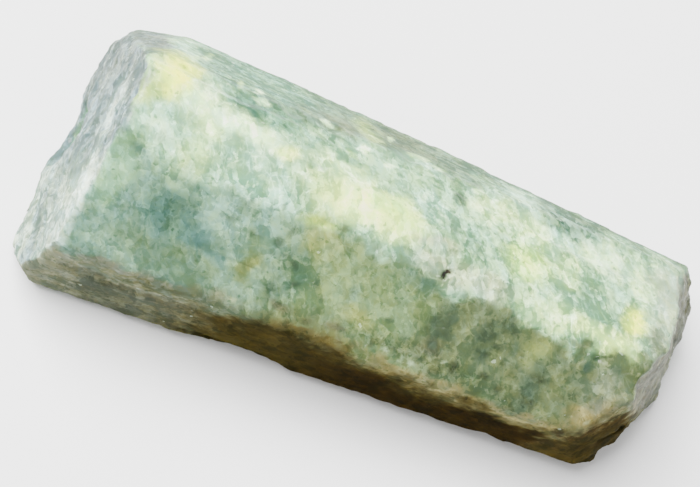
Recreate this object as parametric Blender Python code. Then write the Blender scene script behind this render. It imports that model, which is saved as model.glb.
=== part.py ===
"""A rough crystal of aquamarine (beryl), lying on one of its own prism faces.

Metres, +Z up. +X runs along the crystal's c axis, from the stepped end to the broken end, and the
floor is at z = 0. The crystal is one natural piece, so it is one solid and one node.

It is made the way a crystal is described: each prism face is a flat plane at its own distance from
the long axis, and the planes cut a block down to the crystal. The two ends are then shattered into
small facets. Last, what broke or etched the crystal (chips along the edges, scoops in the ends,
growth ledges, grooves, pits) is cut away with Booleans.
"""

import math
import random

import bmesh
import bpy
from mathutils import Euler, Matrix, Vector, noise

MM = 0.001

# Driving dimensions of the crystal
LENGTH = 52.0 * MM
HEIGHT = 15.0 * MM  # of the crown at mid-length
AXIS_HEIGHT = HEIGHT / 2
BLOCK = 90.0 * MM  # the block that the planes cut down, larger than the crystal all round

# Prism faces: name, lean of the face's normal from +Z towards +Y in degrees, distance from the
# axis at mid-length, and how much that distance changes for each unit of length towards +X
PRISM_FACES = (
    ("crown", 0, AXIS_HEIGHT, -0.045),
    ("back_slope", 29, 7.28 * MM, -0.097),
    ("back_shoulder", 60.5, 8.20 * MM, -0.031),
    ("back_flank", 118.7, 9.80 * MM, -0.048),
    ("rest", 180, AXIS_HEIGHT, 0.0),
    ("front_foot", -122, 11.33 * MM, -0.059),
    ("front_side", -83.4, 9.12 * MM, -0.041),
    ("front_slope", -28.8, 7.20 * MM, -0.017),
)

# End facets: a point that the facet passes through, in shares of the half length and in
# millimetres across and up, and the facet's outward normal
END_FACETS = (
    ("stepped_end", (-0.967, 3.5, 10.6), (-0.989, 0.099, 0.114)),
    ("stepped_end_front", (-0.981, -6.1, 8.6), (-0.977, 0.0, 0.215)),
    ("stepped_end_back", (-0.972, 8.8, 5.0), (-0.90, 0.42, 0.10)),
    ("stepped_end_corner", (-0.865, 9.0, 8.3), (-0.276, 0.886, 0.372)),
    ("stepped_end_toe", (-1.01, -9.9, 1.8), (-0.62, -0.65, -0.30)),
    ("broken_end", (1.02, 0.0, 3.0), (1.0, 0.03, -0.10)),
    ("broken_end_brow", (0.91, 3.7, 8.6), (0.869, 0.146, 0.474)),
    ("broken_end_front", (0.885, -1.1, 9.1), (0.922, -0.172, 0.346)),
    ("broken_end_heel", (0.93, -5.0, 3.0), (0.89, -0.43, -0.10)),
    ("broken_end_toe", (0.91, -7.8, 2.5), (0.73, -0.66, -0.18)),
    ("broken_end_side", (0.70, -7.4, 11.0), (0.615, -0.725, 0.31)),
)

# The rough fracture of the ends
END_NORMAL = 0.68  # a face is rough fracture when its normal is at least this much along X
FRACTURE_FAMILIES = (8, 67, 128)  # directions of the crack planes, in degrees round the axis
FRACTURE_PITCH = 1.7 * MM
FRACTURE_REACH = 13.0 * MM  # how far from the axis the crack planes go
FRACTURE_DEPTH = {-1: 0.75 * MM, 1: 1.25 * MM}  # at the stepped end and at the broken end
FRACTURE_GRAIN = 4.2 * MM  # size of the humps
FRACTURE_TERRACES = 3
FRACTURE_SPREAD = (0.15, 0.85)  # where in its pitch a crack plane lies
FRACTURE_TILT = 9.0  # degrees that a crack plane strays from its family
FRACTURE_MERGE = 0.12 * MM  # cuts nearer to a corner than this go through the corner
HUMP_HEIGHT = 0.75  # how far the humps of the fracture reach, as a share of its depth
HUMP_NOISE = (0.8, 2.1, 3)  # roughness, step in size and number of layers of the humps
TERRACE_SHARE = 0.55  # how much of the hollow goes in steps, and the rest in smooth humps

# Chips knocked off the long edges
CHIP_PITCH = 2.6 * MM
CHIP_RADIUS = (0.5 * MM, 1.5 * MM)
CHIP_BITE = (0.12, 0.38)  # how deep a chip goes, as a share of its radius
CHIP_STRETCH = (1.2, 2.6)  # how much longer a chip is along its edge
CHIP_SPREAD = (0.1, 0.9)  # where in its pitch a chip lies
CHIP_TILT = 0.3  # radians
SHORTEST_EDGE_CHIPPED = 18.0 * MM  # as far as the edge reaches along X

# Shell-shaped scoops: place as a share of the half length and in millimetres across and up, then
# radii along X, Y and Z in millimetres
SCOOPS = (
    ((0.93, -4.6, 13.6), (2.6, 2.4, 1.6)),
    ((0.97, 3.4, 14.0), (3.0, 2.6, 2.0)),
    ((1.04, 6.9, 9.2), (2.0, 2.4, 2.2)),
    ((1.07, -0.4, 5.4), (2.4, 3.4, 2.8)),
    ((0.90, -9.6, 3.0), (2.8, 1.6, 1.9)),
    ((-1.02, 4.6, 12.6), (2.0, 2.2, 1.9)),
    ((-1.05, -3.6, 6.6), (1.9, 2.8, 3.0)),
    ((-1.03, 1.4, 2.6), (2.2, 3.4, 2.2)),
    ((-0.72, 12.3, 6.4), (4.6, 1.5, 1.9)),
    ((-0.30, -10.6, 2.0), (5.0, 1.5, 1.5)),
    ((0.36, -10.2, 8.4), (4.4, 1.2, 1.6)),
)

SCOOP_TILT = 0.25  # radians

# Corners knocked off in blocks: the middle of the block's inner lower edge (as the scoops' places),
# its yaw and roll in degrees, and its size outwards, along its inner edge and upwards
CORNER_BREAKS = (
    ((0.865, -3.5, 4.9), (-32, 7), (9.0, 13.0, 16.0)),
    ((0.865, 4.2, -4.4), (52, -8), (9.0, 16.0, 7.2)),
)
BREAK_JITTER = 0.28 * MM
BREAK_CUTS = 3  # how many times the block's edges are divided, for its uneven faces

# Growth ledges: the prism face, where the ledge starts and ends along X, where its riser lies
# across the face, the side of the riser that is lower, its depth, all in millimetres, and the end
# (-1 or 1) where it fades out
LEDGES = (
    ("crown", -29.0, -3.0, 1.3, 1, 0.26, 1),
    ("crown", -4.0, 29.0, -1.1, -1, 0.20, -1),
    ("back_slope", -29.0, 2.0, 1.2, 1, 0.34, 1),
    ("back_slope", -8.0, 20.0, 2.6, 1, 0.30, -1),
    ("back_slope", 6.0, 29.0, 0.6, -1, 0.22, -1),
    ("back_shoulder", -29.0, 8.0, 1.0, 1, 0.60, 1),
    ("back_shoulder", 2.0, 29.0, 0.6, -1, 0.50, -1),
    ("back_flank", -29.0, 6.0, 0.4, 1, 0.55, 1),
    ("back_flank", 0.0, 29.0, 1.0, -1, 0.45, -1),
    ("front_slope", -10.0, 13.0, -4.3, -1, 0.28, -1),
    ("front_slope", 8.0, 29.0, -2.2, -1, 0.22, -1),
    ("front_side", -29.0, -2.0, -1.4, 1, 0.50, 1),
    ("front_side", -4.0, 22.0, 1.6, 1, 0.24, -1),
    ("rest", -29.0, 4.0, 5.4, 1, 0.45, 1),
    ("rest", 0.0, 29.0, -5.0, -1, 0.50, -1),
)
LEDGE_WIDTH = 9.0  # millimetres that a ledge's cutter reaches sideways, past the face's edge
LEDGE_STEP = 2.4  # millimetres between the corners of a ledge's ragged riser
LEDGE_RAGGED = 0.32
LEDGE_PINCH = (6, 1.2)  # how late, and by how many millimetres, the riser curves off at its ends
LEDGE_FADE = 1.15  # above 1, so that the ledge's floor leaves the face before its end
LEDGE_YAW = 1.5  # degrees that a ledge strays from the crystal's length
LEDGE_BLOCK = 3.0 * MM  # thickness of the block that cuts a ledge

# Fine grooves that run along the crystal, as beryl's prism faces have
GROOVE_FACES = (
    ("crown", -2.0, 3.6, 5),
    ("back_slope", -3.0, 4.6, 10),
    ("back_shoulder", -3.5, 5.0, 9),
    ("back_flank", -3.4, 3.6, 8),
    ("front_side", -4.6, 2.4, 9),
    ("front_slope", -5.6, 2.8, 7),
)  # face, lowest and highest place across it in millimetres, number of grooves
GROOVE_LENGTH = (5.0 * MM, 19.0 * MM)
GROOVE_RADIUS = (0.20 * MM, 0.42 * MM)
GROOVE_DEPTH = 0.48  # as a share of its radius
GROOVE_SPREAD = (0.2, 0.8)  # where in its share of the face a groove lies
GROOVE_YAW = 0.8  # degrees

# Etch pits in the prism faces
PIT_FACES = (
    ("crown", -1.5, 3.0, 3),
    ("back_slope", -2.4, 3.6, 5),
    ("back_shoulder", -2.6, 4.0, 4),
    ("back_flank", -2.6, 2.8, 5),
    ("front_side", -5.0, 1.8, 16),
    ("front_slope", -5.0, 2.4, 9),
)  # face, lowest and highest place across it in millimetres, number of pits
PIT_RADIUS = (0.30 * MM, 0.85 * MM)
PIT_DEPTH = 0.40  # as a share of the pit's radius
PIT_REACH = 0.42  # how far from mid-length pits lie, as a share of the length
PIT_SIDES = 6
PIT_CONE = (0.15, 1.6, 2.0)  # radius at the point, radius outside and height, for a unit pit
PIT_STRETCH = 1.5  # how much longer a pit is along the crystal

ROUGHNESS_OF_CUTTERS = 0.22
SEED = 7


def clear_scene():
    for obj in list(bpy.data.objects):
        bpy.data.objects.remove(obj)


def object_from(mesh_data, name):
    """A new object that holds this bmesh."""
    mesh = bpy.data.meshes.new(name)
    mesh_data.to_mesh(mesh)
    mesh_data.free()
    obj = bpy.data.objects.new(name, mesh)
    bpy.context.scene.collection.objects.link(obj)
    return obj


def cut_by_plane(shape, point, normal):
    """Takes away what lies outside the plane, and closes the cut with one flat face."""
    everything = shape.verts[:] + shape.edges[:] + shape.faces[:]
    cut = bmesh.ops.bisect_plane(
        shape, geom=everything, plane_co=point, plane_no=normal, clear_outer=True, dist=1e-7
    )
    rim = [item for item in cut["geom_cut"] if isinstance(item, bmesh.types.BMEdge)]
    bmesh.ops.contextual_create(shape, geom=rim)


def face_plane(name):
    """(point, normal) of a prism face: the point is where the face crosses mid-length."""
    _, lean, distance, change = next(face for face in PRISM_FACES if face[0] == name)
    across, up = math.sin(math.radians(lean)), math.cos(math.radians(lean))
    point = Vector((0, distance * across, AXIS_HEIGHT + distance * up))
    return point, Vector((-change, across, up)).normalized()


def end_point(place):
    """A point given as a share of the half length, and millimetres across and up."""
    return Vector((place[0] * LENGTH / 2, place[1] * MM, place[2] * MM))


def cut_prism():
    """The crystal as its planes leave it, before it was chipped."""
    shape = bmesh.new()
    bmesh.ops.create_cube(shape, size=BLOCK)
    for name, *_ in PRISM_FACES:
        cut_by_plane(shape, *face_plane(name))
    for _, place, normal in END_FACETS:
        cut_by_plane(shape, end_point(place), Vector(normal).normalized())
    bmesh.ops.recalc_face_normals(shape, faces=shape.faces)
    return shape


def long_edges(shape):
    """The two ends of every edge that runs along the crystal."""
    edges = [(edge.verts[0].co.copy(), edge.verts[1].co.copy()) for edge in shape.edges]
    return [(start, end) for start, end in edges if abs(end.x - start.x) > SHORTEST_EDGE_CHIPPED]


def end_faces(shape):
    shape.normal_update()
    return [face for face in shape.faces if abs(face.normal.x) > END_NORMAL]


def crack_planes(draw):
    """Planes along the crystal's axis, in a few families, at uneven distances."""
    for direction in FRACTURE_FAMILIES:
        count = int(2 * FRACTURE_REACH / FRACTURE_PITCH)
        for number in range(count):
            offset = -FRACTURE_REACH + (number + draw.uniform(*FRACTURE_SPREAD)) * FRACTURE_PITCH
            angle = math.radians(direction + draw.uniform(-FRACTURE_TILT, FRACTURE_TILT))
            normal = Vector((0, math.cos(angle), math.sin(angle)))
            yield normal * offset + Vector((0, 0, AXIS_HEIGHT)), normal


def hollow(corner, side):
    """How far the fracture lies behind the end's flat facet, from 0 to 1, in terraces."""
    place = Vector((side * LENGTH / 2, corner.y, corner.z)) / FRACTURE_GRAIN
    height = min(max(0.5 + HUMP_HEIGHT * noise.fractal(place, *HUMP_NOISE), 0.0), 1.0)
    terrace = math.floor(height * FRACTURE_TERRACES) / FRACTURE_TERRACES
    return (1 - TERRACE_SHARE) * height + TERRACE_SHARE * terrace


def shatter_ends(shape, draw):
    """Splits the end facets along crack planes and sinks the corners by different amounts."""
    for point, normal in crack_planes(draw):
        faces = end_faces(shape)
        edges = {edge for face in faces for edge in face.edges}
        verts = {vert for face in faces for vert in face.verts}
        geometry = list(verts) + list(edges) + faces
        bmesh.ops.bisect_plane(
            shape, geom=geometry, plane_co=point, plane_no=normal, dist=FRACTURE_MERGE
        )
    for corner in {vert for face in end_faces(shape) for vert in face.verts}:
        side = 1 if corner.co.x > 0 else -1
        corner.co.x -= side * FRACTURE_DEPTH[side] * hollow(corner.co, side)
    bmesh.ops.triangulate(shape, faces=shape.faces)


def rough_stone(draw, detail):
    """A unit ball with jittered corners, which leaves a scar of small flat facets."""
    stone = bmesh.new()
    bmesh.ops.create_icosphere(stone, subdivisions=detail, radius=1.0)
    for corner in stone.verts:
        corner.co *= 1 + draw.uniform(-ROUGHNESS_OF_CUTTERS, ROUGHNESS_OF_CUTTERS)
    return stone


def add_cutter(cutters, stone, matrix):
    """Adds a helper object that only cuts: it isn't part of the crystal."""
    bmesh.ops.transform(stone, matrix=matrix, verts=stone.verts)
    cutter = object_from(stone, f"cutter_{len(cutters.objects):03d}")
    cutter.hide_render = True
    cutter.display_type = "WIRE"
    bpy.context.scene.collection.objects.unlink(cutter)
    cutters.objects.link(cutter)


def placed(centre, turn, size):
    return Matrix.LocRotScale(centre, turn, Vector(size))


def add_edge_chips(cutters, edges, draw):
    """Shallow scars along every long edge, longer along it than across."""
    for start, end in edges:
        run = end - start
        for number in range(int(run.length / CHIP_PITCH)):
            share = (number + draw.uniform(*CHIP_SPREAD)) * CHIP_PITCH / run.length
            spot = start + run * min(share, 1.0)
            radius = draw.uniform(*CHIP_RADIUS)
            outward = Vector((0, spot.y, spot.z - AXIS_HEIGHT)).normalized()
            centre = spot + outward * radius * (1 - draw.uniform(*CHIP_BITE))
            tilts = [draw.uniform(-CHIP_TILT, CHIP_TILT) for _ in range(2)]
            turn = Euler((draw.uniform(0, math.tau), *tilts))
            size = (radius * draw.uniform(*CHIP_STRETCH), radius, radius)
            add_cutter(cutters, rough_stone(draw, 1), placed(centre, turn, size))


def add_scoops(cutters, draw):
    """Shell-shaped hollows, most of them where the ends broke."""
    for place, radii in SCOOPS:
        turn = Euler([draw.uniform(-SCOOP_TILT, SCOOP_TILT) for _ in range(3)])
        size = [radius * MM for radius in radii]
        add_cutter(cutters, rough_stone(draw, 2), placed(end_point(place), turn, size))


def add_corner_breaks(cutters, draw):
    """Whole corners that came off along two cracks, which leaves a notch with a flat floor."""
    for place, (yaw, roll), size in CORNER_BREAKS:
        block = bmesh.new()
        bmesh.ops.create_cube(block, size=1.0)
        bmesh.ops.subdivide_edges(block, edges=block.edges, cuts=BREAK_CUTS, use_grid_fill=True)
        out, along, up = (length * MM for length in size)
        matrix = Matrix.LocRotScale(Vector((out / 2, 0, up / 2)), None, Vector((out, along, up)))
        bmesh.ops.transform(block, matrix=matrix, verts=block.verts)
        for corner in block.verts:
            corner.co += Vector([draw.uniform(-BREAK_JITTER, BREAK_JITTER) for _ in range(3)])
        turn = Euler((0, math.radians(roll), math.radians(yaw)))
        add_cutter(cutters, block, placed(end_point(place), turn, (1, 1, 1)))


def face_turn(normal, yaw):
    """Turns a shape so that its Z is the face's normal and its X runs along the crystal."""
    along = (Vector((1, 0, 0)) - normal * normal.x).normalized()
    axes = Matrix((along, normal.cross(along), normal)).transposed()
    return axes @ Matrix.Rotation(math.radians(yaw), 3, "Z")


def on_face(name, along, across):
    """The point of a prism face at this place along the crystal, this far across the face from
    where it is nearest the axis."""
    point, normal = face_plane(name)
    axes = face_turn(normal, 0)
    return point + axes @ Vector((along, across, 0)), normal


def ledge_block(draw, length, side, depth, fades):
    """A slab whose floor rises out of the face at one end, with a ragged riser along one side."""
    slab = bmesh.new()
    count = int(length / LEDGE_STEP)
    lateness, offset = LEDGE_PINCH
    riser = []
    for number in range(count + 1):
        share = number / count
        pinch = offset * abs(2 * share - 1) ** lateness
        ragged = draw.uniform(-LEDGE_RAGGED, LEDGE_RAGGED)
        riser.append(((share - 0.5) * length, side * (pinch + ragged)))
    far = side * LEDGE_WIDTH
    outline = riser + [(length / 2, far), (-length / 2, far)]
    floor = []
    for along, across in outline:
        rise = 0.5 + fades * along / length  # 0 at the deep end, 1 where the ledge fades out
        height = -depth * (1 - LEDGE_FADE * rise)
        floor.append(slab.verts.new(Vector((along, across, height)) * MM))
    bottom = slab.faces.new(floor)
    top = bmesh.ops.extrude_face_region(slab, geom=[bottom])["geom"]
    for item in top:
        if isinstance(item, bmesh.types.BMVert):
            item.co.z = LEDGE_BLOCK
    bmesh.ops.recalc_face_normals(slab, faces=slab.faces)
    return slab


def add_ledges(cutters, draw):
    """Long low steps that one growth layer leaves on the next."""
    for name, start, end, across, side, depth, fades in LEDGES:
        spot, normal = on_face(name, (start + end) / 2 * MM, across * MM)
        turn = face_turn(normal, draw.uniform(-LEDGE_YAW, LEDGE_YAW)).to_quaternion()
        slab = ledge_block(draw, end - start, side, depth, fades)
        add_cutter(cutters, slab, placed(spot, turn, (1, 1, 1)))


def add_grooves(cutters, draw):
    """Long shallow grooves with pointed ends, each cut by a thin spindle."""
    for name, low, high, count in GROOVE_FACES:
        for number in range(count):
            length = draw.uniform(*GROOVE_LENGTH)
            radius = draw.uniform(*GROOVE_RADIUS)
            room = (LENGTH - length) / 2
            across = low + (number + draw.uniform(*GROOVE_SPREAD)) * (high - low) / count
            spot, normal = on_face(name, draw.uniform(-room, room), across * MM)
            spindle = bmesh.new()
            bmesh.ops.create_icosphere(spindle, subdivisions=1, radius=1.0)
            turn = face_turn(normal, draw.uniform(-GROOVE_YAW, GROOVE_YAW)).to_quaternion()
            centre = spot + normal * radius * (1 - GROOVE_DEPTH)
            add_cutter(cutters, spindle, placed(centre, turn, (length / 2, radius, radius)))


def add_pits(cutters, draw):
    """Small six-sided etch pits, with their points inwards."""
    for name, low, high, count in PIT_FACES:
        for _ in range(count):
            along = draw.uniform(-PIT_REACH, PIT_REACH) * LENGTH
            spot, normal = on_face(name, along, draw.uniform(low, high) * MM)
            radius = draw.uniform(*PIT_RADIUS)
            cone = bmesh.new()
            inner, outer, height = PIT_CONE
            bmesh.ops.create_cone(
                cone, cap_ends=True, segments=PIT_SIDES, radius1=inner, radius2=outer, depth=height
            )
            turn = face_turn(normal, draw.uniform(0, 360 / PIT_SIDES)).to_quaternion()
            centre = spot + normal * radius * (1 - PIT_DEPTH)
            add_cutter(cutters, cone, placed(centre, turn, (radius * PIT_STRETCH, radius, radius)))


def cut_away(crystal, cutters):
    """Subtracts all the cutters at once, and keeps the result as the crystal's own mesh."""
    chipping = crystal.modifiers.new("chipping", "BOOLEAN")
    chipping.operation = "DIFFERENCE"
    chipping.solver = "EXACT"
    chipping.operand_type = "COLLECTION"
    chipping.collection = cutters
    graph = bpy.context.evaluated_depsgraph_get()
    chipped = bpy.data.meshes.new_from_object(crystal.evaluated_get(graph))
    crystal.modifiers.clear()
    crystal.data = chipped
    for cutter in list(cutters.objects):
        bpy.data.objects.remove(cutter)


def keep_largest_piece(crystal):
    """A cutter can free a splinter at an edge: only the crystal itself stays."""
    shape = bmesh.new()
    shape.from_mesh(crystal.data)
    unseen = set(shape.verts)
    pieces = []
    while unseen:
        piece, edge_of_piece = set(), [unseen.pop()]
        while edge_of_piece:
            corner = edge_of_piece.pop()
            piece.add(corner)
            near = {edge.other_vert(corner) for edge in corner.link_edges} & unseen
            unseen -= near
            edge_of_piece += near
        pieces.append(piece)
    pieces.sort(key=len)
    for splinter in pieces[:-1]:
        bmesh.ops.delete(shape, geom=list(splinter), context="VERTS")
    bmesh.ops.triangulate(shape, faces=shape.faces)
    shape.to_mesh(crystal.data)
    shape.free()


def centre_on_floor(crystal):
    """Puts the origin at the middle of the crystal's box, on the floor."""
    corners = [Vector(corner) for corner in crystal.bound_box]
    low, high = corners[0], corners[6]
    middle = (low + high) / 2
    crystal.data.transform(Matrix.Translation(-Vector((middle.x, middle.y, low.z))))


def aquamarine():
    """Milky sea-green beryl, wet-looking and slightly see-through."""
    material = bpy.data.materials.new("aquamarine")
    material.use_nodes = True
    shader = material.node_tree.nodes["Principled BSDF"]
    shader.inputs["Base Color"].default_value = (0.52, 0.66, 0.52, 1)
    shader.inputs["Roughness"].default_value = 0.25
    shader.inputs["Metallic"].default_value = 0.0
    shader.inputs["IOR"].default_value = 1.57
    shader.inputs["Transmission Weight"].default_value = 0.3
    return material


def main():
    clear_scene()
    draw = random.Random(SEED)
    shape = cut_prism()
    edges = long_edges(shape)
    shatter_ends(shape, draw)
    crystal = object_from(shape, "aquamarine_crystal")

    cutters = bpy.data.collections.new("cutters")
    bpy.context.scene.collection.children.link(cutters)
    add_edge_chips(cutters, edges, draw)
    add_scoops(cutters, draw)
    add_corner_breaks(cutters, draw)
    add_ledges(cutters, draw)
    add_grooves(cutters, draw)
    add_pits(cutters, draw)
    cut_away(crystal, cutters)
    keep_largest_piece(crystal)
    bpy.context.view_layer.update()
    centre_on_floor(crystal)
    crystal.data.materials.clear()
    crystal.data.materials.append(aquamarine())


main()
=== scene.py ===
# %% [markdown]
# # A rough aquamarine crystal
#
# This lesson dresses one natural crystal: a prism of aquamarine (beryl) about 53 mm long, milky and
# sea-green, with yellow iron stain in its cracks and one dull brown side. It lies on one of its own
# prism faces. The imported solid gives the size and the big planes, and everything that the eye meets
# on the surface is made here: the growth lines, the crumbled ends, the shards of clear and milky
# crystal inside, and the wet gloss on the prism faces.
#
# All lengths are in metres unless a name says otherwise. `MM` turns millimetres into metres.

import math

import bpy
import numpy as np
from mathutils import Matrix, Vector, noise


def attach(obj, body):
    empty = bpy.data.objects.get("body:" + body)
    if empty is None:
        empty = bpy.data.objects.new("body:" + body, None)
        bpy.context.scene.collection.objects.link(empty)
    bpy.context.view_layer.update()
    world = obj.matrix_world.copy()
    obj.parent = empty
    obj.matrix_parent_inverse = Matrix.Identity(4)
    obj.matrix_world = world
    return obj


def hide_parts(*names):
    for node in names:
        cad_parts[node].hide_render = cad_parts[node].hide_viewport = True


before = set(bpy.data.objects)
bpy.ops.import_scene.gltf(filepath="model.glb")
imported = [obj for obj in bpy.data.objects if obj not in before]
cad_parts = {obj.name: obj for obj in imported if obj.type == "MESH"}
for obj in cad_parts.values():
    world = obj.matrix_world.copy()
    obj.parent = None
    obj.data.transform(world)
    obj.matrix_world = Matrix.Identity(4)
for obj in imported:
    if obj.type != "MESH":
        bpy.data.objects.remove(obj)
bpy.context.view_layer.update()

MM = 0.001
SOLID = "aquamarine_crystal"

# %% [markdown]
# ## Camera
#
# The crystal is seen from well above, with its long axis falling from the upper left to the lower
# right of the frame. That takes three turns: azimuth and elevation say where the camera stands,
# and roll turns it about its own line of sight. A long lens keeps the stone's two long edges nearly
# parallel. The camera could be aimed with a Track To constraint, but that leaves no roll, so its
# three axes are worked out and put in its matrix.

# %% Camera
AZIMUTH = math.radians(-40)
ELEVATION = math.radians(73)
ROLL = math.radians(61)
DISTANCE = 0.200
LENS = 134
NEAREST = 0.01  # nothing closer to the camera than this is drawn
LOOK_AT = Vector((-2.88, -0.07, 7.5)) * MM


def camera_axes():
    """The directions of the frame's right, its top and the way back to the camera."""
    flat = math.cos(ELEVATION)
    back = Vector((math.sin(AZIMUTH) * flat, -math.cos(AZIMUTH) * flat, math.sin(ELEVATION)))
    level = Vector((0, 0, 1)).cross(back).normalized()
    upright = back.cross(level)
    right = math.cos(ROLL) * level + math.sin(ROLL) * upright
    top = math.cos(ROLL) * upright - math.sin(ROLL) * level
    return right, top, back


right, top, back = camera_axes()
camera = bpy.data.objects.new("camera", bpy.data.cameras.new("camera"))
bpy.context.scene.collection.objects.link(camera)
camera.data.lens = LENS
camera.data.clip_start = NEAREST
turn = Matrix((right, top, back)).transposed().to_4x4()
camera.matrix_world = Matrix.Translation(LOOK_AT + back * DISTANCE) @ turn
bpy.context.scene.camera = camera
print("camera stands at", [round(place / MM) for place in camera.location], "mm")

# %% [markdown]
# ## Floor
#
# The stone lies on a sheet of plain pale paper. One large plane is enough, as long as its edge stays
# far outside the frame. Its material is nearly matt, so that it takes a soft shadow and no mirror
# image of the stone.

# %% Floor
FLOOR_SIZE = 3.0
PAPER = (0.90, 0.90, 0.90, 1)
PAPER_ROUGHNESS = 0.9
PAPER_SHINE = 0.1


def material_with(name):
    """A new node material and its Principled shader."""
    material = bpy.data.materials.new(name)
    material.use_nodes = True
    return material, material.node_tree.nodes["Principled BSDF"]


bpy.ops.mesh.primitive_plane_add(size=FLOOR_SIZE)
floor = bpy.context.object
floor.name = "floor"
paper, shader = material_with("pale_paper")
shader.inputs["Base Color"].default_value = PAPER
shader.inputs["Roughness"].default_value = PAPER_ROUGHNESS
shader.inputs["Specular IOR Level"].default_value = PAPER_SHINE
floor.data.materials.append(paper)
print("floor:", FLOOR_SIZE, "m wide")

# %% [markdown]
# ## Light
#
# One large soft lamp stands behind and above the stone, under an even white sky. From the far side
# it leaves the near prism side in shade, and its light comes towards the camera through the top of
# the stone, which is what makes milky crystal glow. A lamp beside the camera would flatten it.

# %% Light
SKY = (1.0, 1.0, 1.0, 1)
SKY_STRENGTH = 0.8
LAMP_TOWARDS = Vector((-0.50, 0.30, 0.81))
LAMP_DISTANCE = 0.60
LAMP_SIZE = 0.45
LAMP_POWER = 20.0

world = bpy.data.worlds.new("sky")
world.use_nodes = True
world.node_tree.nodes["Background"].inputs["Color"].default_value = SKY
world.node_tree.nodes["Background"].inputs["Strength"].default_value = SKY_STRENGTH
bpy.context.scene.world = world

bpy.ops.object.light_add(type="AREA", location=LAMP_TOWARDS.normalized() * LAMP_DISTANCE)
lamp = bpy.context.object
lamp.name = "soft_lamp"
lamp.data.size = LAMP_SIZE
lamp.data.energy = LAMP_POWER
lamp.rotation_euler = LAMP_TOWARDS.to_track_quat("Z", "Y").to_euler()
print("lamp:", LAMP_POWER, "W,", LAMP_SIZE, "m across")

# %% [markdown]
# ## The stone's surface
#
# The solid already has the right planes, ledges and broken corners, but only a few thousand
# triangles. A natural surface needs points everywhere, so a merged copy of the solid is rebuilt from
# small voxels, and a Shrinkwrap modifier then lays the new points back on the flat planes, because
# voxels round them off a little. Subdividing the solid instead would keep its long thin triangles,
# which displace badly.

# %% A fine, even skin over the solid
VOXEL = 0.212 * MM
SAME_PLACE = 0.001 * MM


def only(piece):
    """Selects this object and nothing else."""
    bpy.ops.object.select_all(action="DESELECT")
    piece.select_set(True)
    bpy.context.view_layer.objects.active = piece


def apply_all(piece):
    """Applies the object's modifiers from the first to the last."""
    only(piece)
    for modifier in list(piece.modifiers):
        bpy.ops.object.modifier_apply(modifier=modifier.name)


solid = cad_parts[SOLID]
crystal = bpy.data.objects.new("crystal", solid.data.copy())
bpy.context.scene.collection.objects.link(crystal)
crystal.data.materials.clear()
only(crystal)
bpy.ops.object.mode_set(mode="EDIT")
bpy.ops.mesh.select_all(action="SELECT")
bpy.ops.mesh.remove_doubles(threshold=SAME_PLACE)
bpy.ops.object.mode_set(mode="OBJECT")

skin = crystal.modifiers.new("skin", "REMESH")
skin.mode = "VOXEL"
skin.voxel_size = VOXEL
flatten = crystal.modifiers.new("flatten", "SHRINKWRAP")
flatten.target = solid
apply_all(crystal)
print("skin:", len(crystal.data.vertices), "points")

# %% [markdown]
# ## Which face is which
#
# Beryl grows as a six-sided prism, and each side behaves in its own way: the prism faces carry fine
# lines along the crystal, the ends are crumbled, and the face it lies on stays flat. A face is known
# by how it leans, so each point's normal tells its face. The lean is evened out over neighbouring
# points first, so that one face fades softly into the next.

# %% Lean of every point
def points_of(piece, name, width=3):
    """A mesh value of every point, as one row each."""
    values = np.empty(len(piece.data.vertices) * width, np.float32)
    piece.data.vertices.foreach_get(name, values)
    return values.reshape(-1, width).astype(float)


def even_out(piece, values, rounds):
    """Each point's value becomes the mean of its own and its neighbours', a few times over."""
    edges = np.empty(len(piece.data.edges) * 2, np.int32)
    piece.data.edges.foreach_get("vertices", edges)
    first, second = edges.reshape(-1, 2).T
    count = 1 + np.bincount(first, minlength=len(values)) + np.bincount(second, minlength=len(values))
    for _ in range(rounds):
        total = values.copy()
        for column in range(values.shape[1]):
            total[:, column] += np.bincount(first, values[second, column], len(values))
            total[:, column] += np.bincount(second, values[first, column], len(values))
        values = total / count[:, None]
    return values


def between(values, low, high):
    """0 below low, 1 above high, and a soft ramp between them. High may be the smaller one."""
    share = np.clip((values - low) / (high - low), 0, 1)
    return share * share * (3 - 2 * share)


LEAN_ROUNDS = 12
WIDE_ROUNDS = 45
END_RAMP = (0.64, 0.82)  # how much of the normal points along the crystal
REST_RAMP = (-0.75, -0.92)  # how much of it points down
UNDERSIDE_RAMP = (-0.9, -0.6)
FRONT_RAMP = (-48, -68)  # degrees of lean

normals = even_out(crystal, points_of(crystal, "normal"), LEAN_ROUNDS)
along, across, upwards = normals.T
lean = np.degrees(np.arctan2(across, upwards))  # 0 faces up, 90 faces the back, -90 the front

_, wide_across, wide_up = even_out(crystal, normals, WIDE_ROUNDS).T
roll_off = np.degrees(np.arctan2(wide_across, wide_up))  # the lean again, softer over the edges

end_share = between(np.abs(along), *END_RAMP)
rest_share = between(upwards, *REST_RAMP)
side_share = (1 - end_share) * (1 - rest_share)
front_share = side_share * between(roll_off, *FRONT_RAMP) * between(upwards, *UNDERSIDE_RAMP)
print("points on the ends:", int(end_share.sum()), " on the front side:", int(front_share.sum()))

# %% [markdown]
# ## Worn edges
#
# The stone looks a little melted: its long edges and the rim of the stepped end are rounded off, most
# of all the edge above the brown side. An edge is where the evened-out normals have grown short,
# because normals that point different ways cancel out. A Smooth modifier with a vertex group rounds
# those points and leaves the flat faces alone. A Bevel modifier needs clean edges, which this skin
# doesn't have.

# %% Rounding the edges
SMOOTH_FACTOR = 0.5
EDGE_ROUNDS = 10
FRONT_EDGE_ROUNDS = 70
BEND_RAMP = (0.004, 0.03)  # how much shorter than 1 an evened-out normal is
LEAST_WEIGHT = 0.01


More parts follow.
